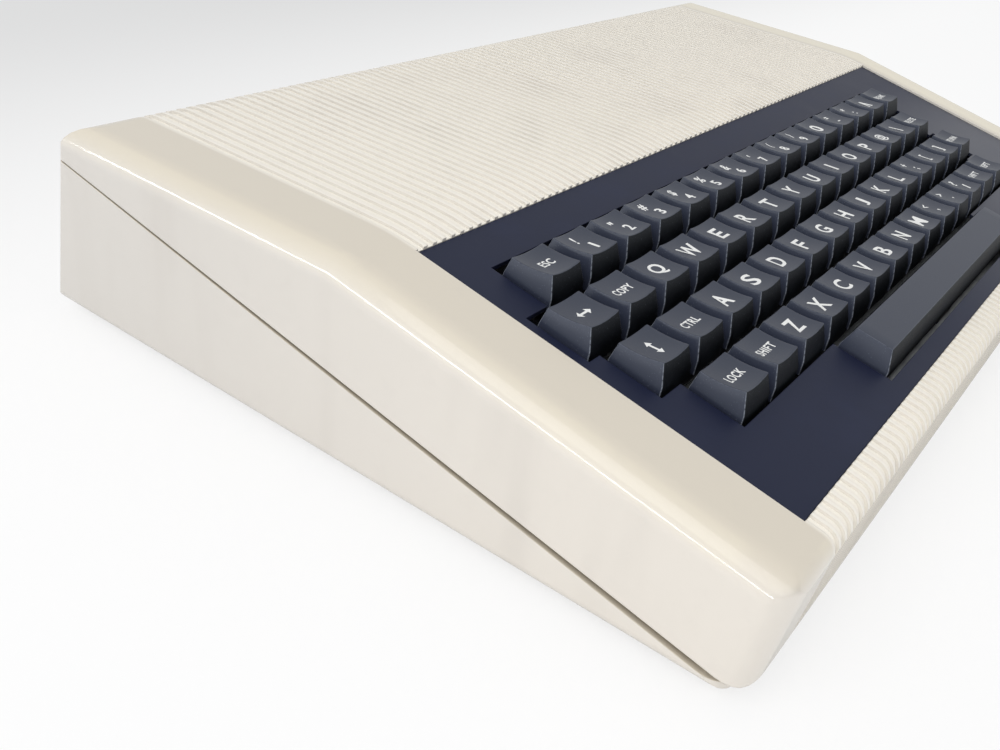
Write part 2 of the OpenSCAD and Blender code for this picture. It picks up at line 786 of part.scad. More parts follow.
// Metal box with a phono socket
module video_modulator() color("silver")
    difference() {
        union() {
            translate([modulator_x - modulator_size[0]/2, board_rear - 26, board_top]) cube(modulator_size);
            barrel(modulator_x, board_rear, socket_end, phono_d - 2*fit);
        }
        barrel(modulator_x, board_rear, socket_end + 1, phono_bore);
    }
video_modulator();

// Round seven-way socket: a ring gap for the plug's shell and seven pin holes
module cassette_socket() color("dimgray")
    difference() {
        union() {
            translate([cassette_x - cassette_size[0]/2, board_rear - 8, board_top]) cube(cassette_size);
            barrel(cassette_x, board_rear, socket_end, din_d - 2*fit);
        }
        difference() {
            barrel(cassette_x, socket_end - 7, socket_end + 1, din_ring);
            barrel(cassette_x, socket_end - 8, socket_end + 2, din_ring - 1.8);
        }
        for (i = [0:6])
            translate([din_pin_r*cos(i*45 - 45), 0, din_pin_r*sin(i*45 - 45)])
                barrel(cassette_x, socket_end - 7, socket_end + 1, 1.5);
    }
cassette_socket();

// Round inlet with a centre pin
module power_inlet() color("dimgray")
    difference() {
        union() {
            translate([power_x - power_size[0]/2, board_rear - 7, board_top]) cube(power_size);
            barrel(power_x, board_rear, socket_end, power_d - 2*fit);
        }
        difference() {
            barrel(power_x, socket_end - 9, socket_end + 1, 5.5);
            barrel(power_x, socket_end - 10, socket_end - 1, 2.1);
        }
    }
power_inlet();

// Two-row pin connector in an open shroud that faces the rear
module pin_connector(x, w, h, pins)
    translate([x, 0, socket_z]) {
        difference() {
            translate([-w/2, board_rear - web_t, -h/2]) cube([w, socket_end - board_rear + web_t - 1, h]);
            translate([-w/2 + shroud_t, socket_end - socket_depth, -h/2 + shroud_t])
                cube([w - 2*shroud_t, socket_depth + 1, h - 2*shroud_t]);
        }
        translate([-w/2, board_rear - web_t, board_top - socket_z])
            cube([w, web_t, socket_z - board_top - h/2]);
        for (i = [0:pins - 1], side = [-1, 1])
            translate([(i - (pins - 1)/2)*pin_step - pin_w/2, socket_end - socket_depth - 1,
                       (side*pin_step - pin_w)/2])
                cube([pin_w, socket_depth - 1, pin_w]);
    }

module bus_connector() color("darkgray") pin_connector(bus_x, bus_w, bus_h, 32);
bus_connector();

module printer_connector() color("darkgray") pin_connector(printer_x, printer_w, printer_h, 13);
printer_connector();

// Small loudspeaker that faces down on the floor slots
module loudspeaker() color("dimgray")
    translate([speaker_x, speaker_y, floor_top]) {
        cylinder(d = speaker_d, h = speaker_rim_h);
        translate([0, 0, speaker_rim_h])
            cylinder(d1 = speaker_d - 6, d2 = speaker_d/2, h = speaker_cone_h);
        translate([0, 0, speaker_rim_h + speaker_cone_h])
            cylinder(d = speaker_d/2 + 2, h = speaker_magnet_h);
    }
loudspeaker();

// ---- Feet and fastenings ----

module rubber_feet() color("black")
    for (p = foot_places) translate([p[0], p[1], 0]) cylinder(d = foot_d, h = foot_h);
rubber_feet();

// Screw along Z whose head's seat is at z = 0, with the shank pointing up
module screw(length) {
    translate([0, 0, -head_h]) cylinder(d = head_d, h = head_h);
    cylinder(d = screw_shank, h = length);
}

module case_screws() color("slategray")
    for (p = boss_places) translate([p[0], p[1], sleeve_seat]) screw(boss_bottom + boss_hole - 2 - sleeve_seat);
case_screws();

module board_screws() color("slategray") {
    for (p = board_posts) translate([p[0], p[1], board_top]) mirror([0, 0, 1]) screw(board_top - floor_top - 1);
    on_slope() for (p = plate_posts) translate([p[0], p[1], plate_top - plate_t]) screw(plate_t + plate_hole - 0.5);
}
board_screws();
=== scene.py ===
# %% [markdown]
# # A wedge-shaped home computer
#
# The case, the keyboard's surround and the electronics were constructed as CAD solids.
# This lesson dresses them: it keeps the solids whose shape is right and gives them real
# finishes, and it builds the keycaps anew, because a moulded keycap has soft corners and a
# hollow top that the plain solids only outline. Everything is in metres, in the frame of
# the CAD model: the origin is at the middle of the base, X to the right, Y to the back.

# %% Load the CAD model
import math

import bpy
from mathutils import Matrix, Vector


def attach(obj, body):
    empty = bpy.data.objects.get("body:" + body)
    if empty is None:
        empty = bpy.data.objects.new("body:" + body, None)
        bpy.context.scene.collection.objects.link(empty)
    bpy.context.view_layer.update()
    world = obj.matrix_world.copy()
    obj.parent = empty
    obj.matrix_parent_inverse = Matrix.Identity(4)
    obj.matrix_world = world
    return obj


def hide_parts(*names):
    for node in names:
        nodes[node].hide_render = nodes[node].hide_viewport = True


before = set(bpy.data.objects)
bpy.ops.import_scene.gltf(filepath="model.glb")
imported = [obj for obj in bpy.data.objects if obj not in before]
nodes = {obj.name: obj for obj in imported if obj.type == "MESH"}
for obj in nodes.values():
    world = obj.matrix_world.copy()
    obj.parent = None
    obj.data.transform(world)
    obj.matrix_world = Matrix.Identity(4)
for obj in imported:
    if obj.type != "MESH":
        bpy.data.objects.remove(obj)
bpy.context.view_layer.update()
scene = bpy.context.scene
MM = 0.001

# %% [markdown]
# ## Sizes that the pieces share
#
# The keyboard lies on a slope. Its pieces are drawn flat, in the frame of the dark
# surround, whose origin is the middle of the surround's rear edge, and are then turned
# onto the slope by one matrix. The values repeat those of the CAD source.

# %% The keyboard's frame and places
CASE_D, CASE_H = 246*MM, 63.5*MM
TILT = math.radians(10.2)
PANEL_W, PANEL_D = 336*MM, 116.6*MM
FRONT_LIP = 8.8*MM
PANEL_DROP = 2.5*MM
PANEL_Y = -CASE_D/2 + FRONT_LIP + PANEL_D*math.cos(TILT)
PANEL_Z = CASE_H - PANEL_DROP
ON_SLOPE = Matrix.Translation((0, PANEL_Y, PANEL_Z)) @ Matrix.Rotation(TILT, 4, "X")

KEY_PITCH = 19.05*MM
FIRST_X = -PANEL_W/2 + 23.5*MM
FIRST_Y = -24.625*MM
ROW_OFFSET = [0, -0.5, -0.25, 0.25]
SPACE_ROW = 4
SPACE_FIRST, SPACE_LENGTH = 2.87, 7.76


def key_place(row, place):
    """Matrix that takes a key drawn at the origin to its place on the slope."""
    x = FIRST_X + (ROW_OFFSET[row] + place)*KEY_PITCH
    return ON_SLOPE @ Matrix.Translation((x, FIRST_Y - row*KEY_PITCH, 0))


print("surround's rear edge at", round(PANEL_Y, 4), round(PANEL_Z, 4))

# %% [markdown]
# ## The camera
#
# The photograph was taken from above the front left corner. The place and the focal
# length come from fitting the corners of the keys and of the surround, whose spacing is
# known, to where they appear in a picture 1000 pixels wide.

# %% Camera
RIGHT = Vector((0.5553, -0.8169, 0.1562))
UP = Vector((0.3616, 0.4063, 0.8393))
FORWARD = Vector((0.7490, 0.4095, -0.5209))
EYE = Vector((-0.3601, -0.1522, 0.1806))
SENSOR = 36
PIXELS_WIDE = 1000
FOCAL_PIXELS = 1050.3
AXIS_PIXEL = 560

camera_data = bpy.data.cameras.new("camera")
camera_data.sensor_width = SENSOR
camera_data.lens = FOCAL_PIXELS*SENSOR/PIXELS_WIDE
camera_data.shift_x = (PIXELS_WIDE/2 - AXIS_PIXEL)/PIXELS_WIDE
camera_data.clip_start = 0.01
camera = bpy.data.objects.new("camera", camera_data)
scene.collection.objects.link(camera)
turn = Matrix((RIGHT, UP, -FORWARD)).transposed().to_4x4()
camera.matrix_world = Matrix.Translation(EYE) @ turn
scene.camera = camera
print("lens:", round(camera_data.lens, 2), "mm")

# %% [markdown]
# ## Writing shaders as sums
#
# A finish is easier to read as an expression than as a list of links. `Wire` wraps one
# output socket. Its operators add Math nodes for numbers and Vector Math nodes for
# colours and vectors. `Finish` is one material, and its `node` method adds any other node.

# %% Shader helper
class Wire:
    """One output socket of a material, with arithmetic."""

    def __init__(self, finish, socket):
        self.finish = finish
        self.socket = socket

    def __add__(self, other):
        return self.finish.sum("ADD", self, other)

    def __radd__(self, other):
        return self.finish.sum("ADD", other, self)

    def __sub__(self, other):
        return self.finish.sum("SUBTRACT", self, other)

    def __rsub__(self, other):
        return self.finish.sum("SUBTRACT", other, self)

    def __mul__(self, other):
        return self.finish.sum("MULTIPLY", self, other)

    def __rmul__(self, other):
        return self.finish.sum("MULTIPLY", other, self)

    def range(self, low, high, to_low=0.0, to_high=1.0):
        """Maps low..high softly onto to_low..to_high, and holds it there outside."""
        return self.finish.node(
            "ShaderNodeMapRange", {"interpolation_type": "SMOOTHSTEP"},
            {"Value": self, "From Min": low, "From Max": high,
             "To Min": to_low, "To Max": to_high})

    def size(self):
        """The value without its sign."""
        return self.finish.node("ShaderNodeMath", {"operation": "ABSOLUTE"}, {0: self})

    def part(self, name):
        """The X, Y or Z of a vector."""
        return self.finish.node("ShaderNodeSeparateXYZ", {}, {"Vector": self}, name)

    def dot(self, other):
        return self.finish.node("ShaderNodeVectorMath", {"operation": "DOT_PRODUCT"},
                                {0: self, 1: other}, "Value")


def is_number(value):
    return value.socket.type == "VALUE" if isinstance(value, Wire) else not hasattr(value, "__len__")


class Finish:
    """One material: a Principled shader and the nodes that feed it."""

    def __init__(self, name, **settings):
        self.material = bpy.data.materials.new(name)
        self.material.use_nodes = True
        self.tree = self.material.node_tree
        self.shader = self.tree.nodes["Principled BSDF"]
        self.set(settings)

    def fill(self, socket, value):
        if isinstance(value, Wire):
            self.tree.links.new(value.socket, socket)
        elif hasattr(socket.default_value, "__len__") and not hasattr(value, "__len__"):
            socket.default_value = [value]*len(socket.default_value)
        elif hasattr(value, "__len__") and len(value) < len(socket.default_value):
            socket.default_value = (*value, 1)
        else:
            socket.default_value = value

    def node(self, kind, settings=None, inputs=None, output=0):
        """Adds a node: its settings first, then its sockets; returns one output."""
        made = self.tree.nodes.new(kind)
        for name, value in (settings or {}).items():
            setattr(made, name, value)
        for name, value in (inputs or {}).items():
            self.fill(made.inputs[name], value)
        return Wire(self, made.outputs[output])

    def sum(self, operation, a, b):
        kind = "ShaderNodeMath" if is_number(a) and is_number(b) else "ShaderNodeVectorMath"
        return self.node(kind, {"operation": operation}, {0: a, 1: b})

    def mix(self, a, b, factor):
        """Colour a where factor is 0 and colour b where it is 1."""
        return self.node("ShaderNodeMix", {"data_type": "RGBA"},
                         {"Factor": factor, 6: a, 7: b}, 2)

    def place(self):
        """Place on the object, in metres, that moves with a key when it is pressed."""
        return self.node("ShaderNodeTexCoord", output="Object")

    def noise(self, size, detail=2, roughness=0.5, stretch=(1, 1, 1)):
        """Soft noise from 0 to 1, with grains of a size in metres."""
        vector = self.place()*stretch
        return self.node("ShaderNodeTexNoise", {},
                         {"Vector": vector, "Scale": 1/size, "Detail": detail,
                          "Roughness": roughness}, "Fac")

    def normal(self):
        return self.node("ShaderNodeNewGeometry", output="Normal")

    def rounded(self, radius):
        """The normal that the surface would have if its edges were rounded."""
        return self.node("ShaderNodeBevel", {"samples": 8}, {"Radius": radius})

    def blend(self, a, b, factor):
        """Vector a where factor is 0 and vector b where it is 1."""
        return self.node("ShaderNodeMix", {"data_type": "VECTOR"}, {"Factor": factor, 4: a, 5: b}, 1)

    def nooks(self, reach):
        """0 in narrow gaps and 1 on open surfaces."""
        return self.node("ShaderNodeAmbientOcclusion", {"samples": 8}, {"Distance": reach}, "AO")

    def bump(self, height, distance, normal=None, strength=1):
        inputs = {"Height": height, "Distance": distance, "Strength": strength}
        if normal is not None:
            inputs["Normal"] = normal
        return self.node("ShaderNodeBump", {}, inputs)

    def set(self, inputs):
        for name, value in inputs.items():
            self.fill(self.shader.inputs[name], value)
        return self


def srgb(red, green, blue):
    """A colour as a picture shows it, 0 to 255, as the linear values that shaders use."""
    def linear(level):
        level = level/255
        return level/12.92 if level <= 0.04045 else ((level + 0.055)/1.055)**2.4
    return (linear(red), linear(green), linear(blue), 1)


def dress(finish, *names):
    """Gives CAD nodes a finish."""
    for name in names:
        mesh = nodes[name].data
        mesh.materials.clear()
        mesh.materials.append(finish.material)

# %% [markdown]
# ## Smooth moulded surfaces
#
# The solids arrive as flat facets. A moulded shell has no facets on its long rounded
# edges, so a modifier joins the facets and shades across every edge that turns by less
# than 30 degrees. The normals are weighted by area, which keeps the large flat faces flat.

# %% Smoothing by angle
SMOOTH_ANGLE = math.radians(30)
WELD = 0.004*MM


def smoothing_group():
    """Geometry nodes that weld the facets and smooth the shallow edges."""
    group = bpy.data.node_groups.new("moulded_surface", "GeometryNodeTree")
    group.interface.new_socket("Geometry", in_out="INPUT", socket_type="NodeSocketGeometry")
    group.interface.new_socket("Geometry", in_out="OUTPUT", socket_type="NodeSocketGeometry")
    start = group.nodes.new("NodeGroupInput")
    end = group.nodes.new("NodeGroupOutput")
    weld = group.nodes.new("GeometryNodeMergeByDistance")
    weld.inputs["Distance"].default_value = WELD
    faces = group.nodes.new("GeometryNodeSetShadeSmooth")
    edges = group.nodes.new("GeometryNodeSetShadeSmooth")
    edges.domain = "EDGE"
    edges.inputs["Shade Smooth"].default_value = False
    angle = group.nodes.new("GeometryNodeInputMeshEdgeAngle")
    steep = group.nodes.new("FunctionNodeCompare")
    steep.operation = "GREATER_THAN"
    steep.inputs["B"].default_value = SMOOTH_ANGLE
    link = group.links.new
    link(start.outputs[0], weld.inputs["Geometry"])
    link(weld.outputs[0], faces.inputs["Geometry"])
    link(faces.outputs[0], edges.inputs["Geometry"])
    link(angle.outputs["Unsigned Angle"], steep.inputs["A"])
    link(steep.outputs[0], edges.inputs["Selection"])
    link(edges.outputs[0], end.inputs[0])
    return group


MOULDED = smoothing_group()


def smooth(*names):
    for name in names:
        nodes[name].modifiers.new("moulded_surface", "NODES").node_group = MOULDED
        weigh = nodes[name].modifiers.new("flat_faces_first", "WEIGHTED_NORMAL")
        weigh.keep_sharp = True


smooth("upper_shell", "lower_shell", "rubber_feet", "capacitors", "loudspeaker")
print("smoothed the moulded pieces")

# %% [markdown]
# ## The case's plastic
#
# Both halves are moulded in one cream plastic with a fine, almost flat grain. Forty years
# of light have turned it a little yellow, most along the long rounded edges, while the
# flanks are cooler in tone and carry grey smudges. The colour is therefore mixed by
# which way the surface faces. The edges of the ribs are softened by a Bevel node, because
# rounding every rib in the mesh would cost many faces.
#
# Three of the tones imitate how the photograph is lit and are not known of the object: the
# flanks grow greyer towards the rear, the right border is paler, and the grooves between
# the ribs are paler than the ribs, which keeps them from looking black.

# %% Cream plastic
CREAM_TOP = srgb(219, 210, 194)
CREAM_RIBBED = srgb(247, 241, 230)
CREAM_GROOVE_LIT = srgb(255, 251, 240)
CREAM_FLANK_REAR_SHADE = srgb(212, 207, 200)
CREAM_FLANK_FRONT_LIT = srgb(229, 222, 212)
CREAM_RIGHT_LIT = srgb(239, 230, 208)
CREAM_YELLOWED_AND_EDGE_LIT = srgb(236, 227, 205)
CREAM_SMUDGE = srgb(198, 191, 183)
GAP_SHADE = srgb(152, 140, 122)
NOSE_CORNER = (183*MM, -117*MM, 32*MM)


def cream_plastic(name):
    cream = Finish(name, **{"Specular IOR Level": 0.5, "Coat Weight": 0.6, "Coat Roughness": 0.1})
    facing = cream.normal()
    up = facing.part("Z")
    place = cream.place()
    across, along, high = (place.part(axis) for axis in "XYZ")
    corner = cream.node("ShaderNodeCombineXYZ", {},
                        {"X": across.size() - NOSE_CORNER[0], "Y": along - NOSE_CORNER[1],
                         "Z": high - NOSE_CORNER[2]})
    # The two corners of the nose are rounded off wider than the other edges
    at_corner = 1 - corner.dot(corner).range((9*MM)**2, (15*MM)**2)
    soft = cream.blend(cream.rounded(0.5*MM), cream.rounded(5*MM), at_corner)
    edge = (1 - soft.dot(facing)).range(0.02, 0.3)*(1 - at_corner)
    soft_up = soft.part("Z")
    on_bend = soft_up.range(0.1, 0.45)*(1 - soft_up.range(0.88, 0.96))
    rear_wall = facing.part("Y").range(0.6, 0.9)
    ribbed = (1 - across.size().range(PANEL_W/2 - 1*MM, PANEL_W/2 + 1*MM))*(1 - rear_wall)
    clouds = cream.noise(46*MM, 3)
    mottle = cream.noise(9*MM, 4, 0.6)
    streaks = cream.noise(24*MM, 3, 0.5, (1, 1, 0.15))
    nooks = cream.nooks(4*MM)
    # Painted light and shade: the flanks are paler towards the front and greyer towards the rear
    colour = cream.mix(CREAM_FLANK_FRONT_LIT, CREAM_FLANK_REAR_SHADE, along.range(-120*MM, 110*MM))
    colour = cream.mix(colour, CREAM_TOP, soft_up.range(0.1, 0.9))
    # Painted light: the right border is paler and yellower than the left one
    right_border_lit = across.range(PANEL_W/2, PANEL_W/2 + 6*MM)*up.range(0.3, 0.8)
    colour = cream.mix(colour, CREAM_RIGHT_LIT, right_border_lit)
    # Painted light: the grooves between the ribs are paler than the ribs, against their own shade
    rib_colour = cream.mix(CREAM_GROOVE_LIT, CREAM_RIBBED, nooks.range(0.4, 0.95))
    colour = cream.mix(colour, rib_colour, ribbed*up.range(-0.2, 0.3))
    colour = cream.mix(colour, CREAM_YELLOWED_AND_EDGE_LIT, on_bend*(0.55*clouds)*(1 - ribbed)*(1 - at_corner))
    # Yellowing and a painted highlight: sharp edges are mixed towards the pale yellow
    colour = cream.mix(colour, CREAM_YELLOWED_AND_EDGE_LIT, edge*0.3)
    colour = cream.mix(colour, CREAM_SMUDGE, streaks.range(0.45, 0.8)*(1 - up.range(0.2, 0.6))*0.35)
    colour = cream.mix(colour, CREAM_SMUDGE, mottle.range(0.52, 0.85)*0.12)
    # Painted shade: narrow gaps such as the seam are darkened, except in the ribbed zone
    colour = cream.mix(GAP_SHADE, colour, nooks.range(0.1, 0.5) + ribbed)
    grain = cream.noise(0.35*MM, 2, 0.6)
    cream.set({
        "Base Color": colour,
        "Roughness": 0.36 + 0.12*clouds + 0.06*grain,
        "Normal": cream.bump(grain, 0.006*MM, soft)})
    return cream


case_cream = cream_plastic("cream_plastic")
dress(case_cream, "upper_shell", "lower_shell")
print("case dressed in", case_cream.material.name)

# %% [markdown]
# ## The dark surround
#
# The surround is a thin flat plate with a satin, slightly blue black finish. It shows a
# fine even texture, a few lighter rub marks, and edges that catch the light. A clear coat
# grows towards the right and the front, to imitate the reflection in the photograph.

# %% Navy surround
NAVY = srgb(21, 25, 48)
NAVY_RUB_AND_EDGE_LIT = srgb(42, 48, 74)


def navy_plate():
    navy = Finish("navy_satin", **{"Specular Tint": (0.66, 0.76, 1), "Specular IOR Level": 0.36,
                                   "Coat Roughness": 0.38})
    across, along = (navy.place().part(axis) for axis in "XY")
    sheen = across.range(-60*MM, 150*MM)*(0.8 - 0.7*along.range(-70*MM, -10*MM))
    soft = navy.rounded(0.3*MM)
    edge = (1 - soft.dot(navy.normal())).range(0.02, 0.3)
    clouds = navy.noise(25*MM, 4, 0.6)
    grain = navy.noise(0.4*MM, 2)
    # Lighter rub marks, and a painted highlight along the edges
    colour = navy.mix(NAVY, NAVY_RUB_AND_EDGE_LIT, clouds.range(0.45, 0.8)*0.25 + edge*0.4)
    navy.set({
        "Base Color": colour,
        "Roughness": 0.4 + 0.12*clouds + 0.05*grain,
        "Coat Weight": sheen,
        "Normal": navy.bump(grain, 0.012*MM, soft)})
    return navy


surround_navy = navy_plate()
dress(surround_navy, "keyboard_surround")

# %% [markdown]
# ## The keycaps' plastic
#
# The caps are dark grey, double-shot mouldings: the white legend is a second plastic that
# goes right through. The tops are fine-grained and polished a little by fingers, the
# flanks are rougher, and the sharp upright corners and the rim are mixed paler. The colour
# is painted light and shade by which way a face looks: the flanks that face left are a
# lighter grey, and the other flanks are near-black.

# %% Keycap grey and legend white
CAP_TOP_GREY = srgb(46, 51, 66)
CAP_SHADED_SIDE_GREY = srgb(3, 4, 8)
CAP_LIT_GREY = srgb(48, 53, 70)
CAP_PALE_GREY = srgb(150, 156, 168)
LEGEND_WHITE = srgb(240, 240, 238)


def cap_plastic():
    grey = Finish("keycap_grey", **{"Specular Tint": (0.78, 0.88, 1), "Specular IOR Level": 0.3,
                                    "Coat Roughness": 0.45})
    soft = grey.rounded(0.3*MM)
    facing = grey.normal()
    across, along, up = (facing.part(axis) for axis in "XYZ")
    upright = (across*along).size().range(0.28, 0.46)
    leftward = (0 - across).range(0.5, 0.9)
    rim = up.range(0.45, 0.6)*(1 - up.range(0.72, 0.86))
    specks = grey.noise(1.1*MM, 4, 0.7)
    dust = grey.noise(0.45*MM, 3, 0.6).range(0.6, 0.74)*specks.range(0.42, 0.62)
    grain = grey.noise(0.28*MM, 2)
    # Painted light and shade: the flanks facing left are lighter, the other flanks near-black, the
    # tops grey
    colour = grey.mix(CAP_SHADED_SIDE_GREY, CAP_LIT_GREY, leftward)
    colour = grey.mix(colour, CAP_TOP_GREY, up.range(0.5, 0.85))
    colour = grey.mix(colour, CAP_PALE_GREY, specks.range(0.6, 0.85)*0.1)
    colour = grey.mix(colour, CAP_PALE_GREY, dust*(0.32 - 0.2*up.range(0.5, 0.85)))
    # The upright corners and the rim are mixed paler, in specks
    colour = grey.mix(colour, CAP_PALE_GREY, (upright*0.75 + rim*0.25)*specks.range(0.3, 0.56))
    grey.set({
        "Base Color": colour,
        "Roughness": 0.42 + 0.2*grain - 0.04*up.range(0.5, 0.9),
        "Coat Weight": 0.55*up.range(0.5, 0.85) + 0.35*leftward,
        "Normal": grey.bump(grain, 0.02*MM, soft)})
    return grey


def legend_plastic():
    white = Finish("legend_white", Roughness=0.45)
    grain = white.noise(0.3*MM, 2)
    white.set({"Base Color": white.mix(LEGEND_WHITE, srgb(205, 205, 200), grain.range(0.5, 0.9)*0.4),
               "Normal": white.bump(grain, 0.01*MM)})
    return white


keycap_grey = cap_plastic()
legend_white = legend_plastic()

# %% [markdown]
# ## A keycap
#
# A cap is a hollow, tapered cup with a hollow top, a slice of a sphere, that centres the
# fingertip. It stands nearly plumb on the slope: its front leans back and its rear is
# steep. Boolean solids give it knife edges, so the mesh is built from rings instead: each
# ring is a rounded rectangle, the rings climb the flank, turn over the rim in four small
# steps and run down the hollow to the middle. The inside is built the same way. The four
# measures of an outline are its half width, its front, its rear and the height it lies at.

# %% Rings of a keycap
CAP_LOW = (8.1*MM, -9.1*MM, 7.35*MM, -0.7*MM)
CAP_HIGH = (6.6*MM, -5.75*MM, 6.6*MM, 6.6*MM)
CAP_FOOT = 3.5*MM
CAP_WALL = 1.3*MM
CAP_CEILING = 2.6*MM
DISH_RADIUS = 33*MM
CORNER_ROUND = 0.45*MM
RIM_ROUND = 0.25*MM
CORNER_STEPS = 5
SIDE_STEPS = 7


def rounded_rectangle(half_w, half_d, radius):
    """Points round a rectangle, each as (x, y), with the same count for every size."""
    points = []
    centres = [(1, 1), (-1, 1), (-1, -1), (1, -1)]
    for corner, (sx, sy) in enumerate(centres):
        cx, cy = sx*(half_w - radius), sy*(half_d - radius)
        for step in range(CORNER_STEPS + 1):
            angle = math.radians(90*(corner + step/CORNER_STEPS))
            points.append((cx + radius*math.cos(angle), cy + radius*math.sin(angle)))
        nx, ny = centres[(corner + 1) % 4]
        end = math.radians(90*(corner + 1))
        start_point = points[-1]
        end_point = (nx*(half_w - radius) + radius*math.cos(end),
                     ny*(half_d - radius) + radius*math.sin(end))
        for step in range(1, SIDE_STEPS):
            share = step/SIDE_STEPS
            points.append(tuple(a + (b - a)*share for a, b in zip(start_point, end_point)))
    return points


class Cap:
    """Sizes of one keycap, and the mesh built from them."""

    def __init__(self, low, high, ceiling, dished):
        self.low = low
        self.high = high
        self.rise = high[3]
        self.ceiling = ceiling
        self.dished = dished
        half_w, front, rear, _ = high
        self.middle = (front + rear)/2
        if dished:
            # The hollow's sphere leans back, because the tops lie level on the slope
            self.dish_y = self.middle + DISH_RADIUS*math.sin(TILT)
            to_front = front - self.dish_y
            self.dish_z = self.rise + math.sqrt(DISH_RADIUS**2 - half_w**2 - to_front**2)

    def outline(self, z):
        """Half the width, the front and the rear at a height; the skirt below is upright."""
        bottom = self.low[3]
        share = max(z - bottom, 0)/(self.rise - bottom)
        return [a + (b - a)*share for a, b in zip(self.low[:3], self.high[:3])]

    def surface(self, x, y):
        """Height of the top at a place."""
        if not self.dished:
            return self.rise
        return self.dish_z - math.sqrt(DISH_RADIUS**2 - x*x - (y - self.dish_y)**2)

    def flank_ring(self, z, inset=0.0):
        half_w, front, rear = self.outline(z)
        ring = rounded_rectangle(half_w - inset, (rear - front)/2 - inset,
                                 max(CORNER_ROUND - inset*0.5, 0.3*MM))
        return [(x, y + (front + rear)/2, z) for x, y in ring]

    def sloped_ring(self, share, inset, drop):
        """Ring part of the way up the flank, whose height follows the top's edge."""
        ring = []
        for index in range(len(self.flank_ring(0))):
            z = self.rise
            for _ in range(4):
                x, y, _ = self.flank_ring(z, inset)[index]
                z = -CAP_FOOT + (self.surface(x, y) - drop + CAP_FOOT)*share
            ring.append((x, y, z))
        return ring

    def rim_ring(self, angle):
        """Ring on the rounding between flank (0 degrees) and top (90 degrees)."""
        inset = RIM_ROUND*(1 - math.cos(math.radians(angle)))
        drop = RIM_ROUND*(1 - math.sin(math.radians(angle)))
        return self.sloped_ring(1, inset, drop)

    def rings(self):
        inner_foot = self.flank_ring(-CAP_FOOT, CAP_WALL)
        inner_top = self.flank_ring(self.ceiling, CAP_WALL)
        outer = [self.flank_ring(-CAP_FOOT), self.flank_ring(-CAP_FOOT + 0.15*MM)]
        outer += [self.sloped_ring(share, 0, 0) for share in (0.38, 0.7)]
        rim = [self.rim_ring(angle) for angle in (0, 30, 60, 90)]
        hollow = []
        for share in (0.93, 0.8, 0.6, 0.4, 0.2):
            spots = [(x*share, self.middle + (y - self.middle)*share) for x, y, _ in rim[-1]]
            hollow.append([(x, y, self.surface(x, y)) for x, y in spots])
        return [inner_top, inner_foot] + outer + rim + hollow

    def mesh(self, name):
        rings = self.rings()
        count = len(rings[0])
        points = [p for ring in rings for p in ring]
        faces = []
        for level in range(len(rings) - 1):
            for i in range(count):
                j = (i + 1) % count
                faces.append((level*count + i, level*count + j,
                              (level + 1)*count + j, (level + 1)*count + i))
        top_middle = len(points)
        points.append((0, self.middle, self.surface(0, self.middle)))
        last = (len(rings) - 1)*count
        faces += [(last + i, last + (i + 1) % count, top_middle) for i in range(count)]
        faces.append(tuple(reversed(range(count))))
        mesh = bpy.data.meshes.new(name)
        mesh.from_pydata(points, [], faces)
        mesh.update()
        for polygon in mesh.polygons:
            polygon.use_smooth = True
        for edge in mesh.edges:
            levels = [v//count for v in edge.vertices]
            foot = levels in ([1, 1], [2, 2], [0, 0])
            edge.use_edge_sharp = foot and max(edge.vertices) < 3*count
        return mesh


plain_cap = Cap(CAP_LOW, CAP_HIGH, CAP_CEILING, True)
print("one cap:", len(plain_cap.rings()), "rings, top's middle at",
      round(plain_cap.surface(0, 0)*1000, 2), "mm")

# %% [markdown]
# Each cap is joined to the plunger under it, which the switch guides. The two are one
# piece on the real key once it is pushed on, and they move together.

# %% Key pieces
PLUNGER_W = 4.4*MM
PLUNGER_END = -13.2*MM


def add_box(mesh_points, mesh_faces, half, z0, z1, chamfer):
    """A square bar with chamfered ends, added to lists of points and faces."""
    first = len(mesh_points)
    for z, inset in ((z0, chamfer), (z0 + chamfer, 0), (z1, 0)):
        size = half - inset
        mesh_points += [(size, size, z), (-size, size, z), (-size, -size, z), (size, -size, z)]
    for level in (0, 4):
        for i in range(4):
            j = (i + 1) % 4
            mesh_faces.append((first + level + i, first + level + j,
                               first + level + 4 + j, first + level + 4 + i))
    mesh_faces.append((first + 3, first + 2, first + 1, first))
    mesh_faces.append((first + 8, first + 9, first + 10, first + 11))


def plunger_mesh(name, top):
    points, faces = [], []
    add_box(points, faces, PLUNGER_W/2, PLUNGER_END, top, 0.3*MM)
    mesh = bpy.data.meshes.new(name)
    mesh.from_pydata(points, [], faces)
    return mesh


def add_piece(name, mesh, place, finish, body):
    """Links a mesh as an object, moved into the row frame, and lets it ride on a body."""
    piece = bpy.data.objects.new(name, mesh)
    scene.collection.objects.link(piece)
    piece.matrix_world = place
    if not mesh.materials:
        mesh.materials.append(finish.material)
    bpy.context.view_layer.update()
    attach(piece, body)
    return piece


# %% [markdown]
# ## The legends
#
# The legends of such a keyboard are bold, wide-set capitals for the letters and small
# condensed words for the commands. Each is a text object turned into a mesh, fitted to
# the height and width that it has on the key, laid on the hollow of its cap and sunk so
# that only a few hundredths of a millimetre stand over it.

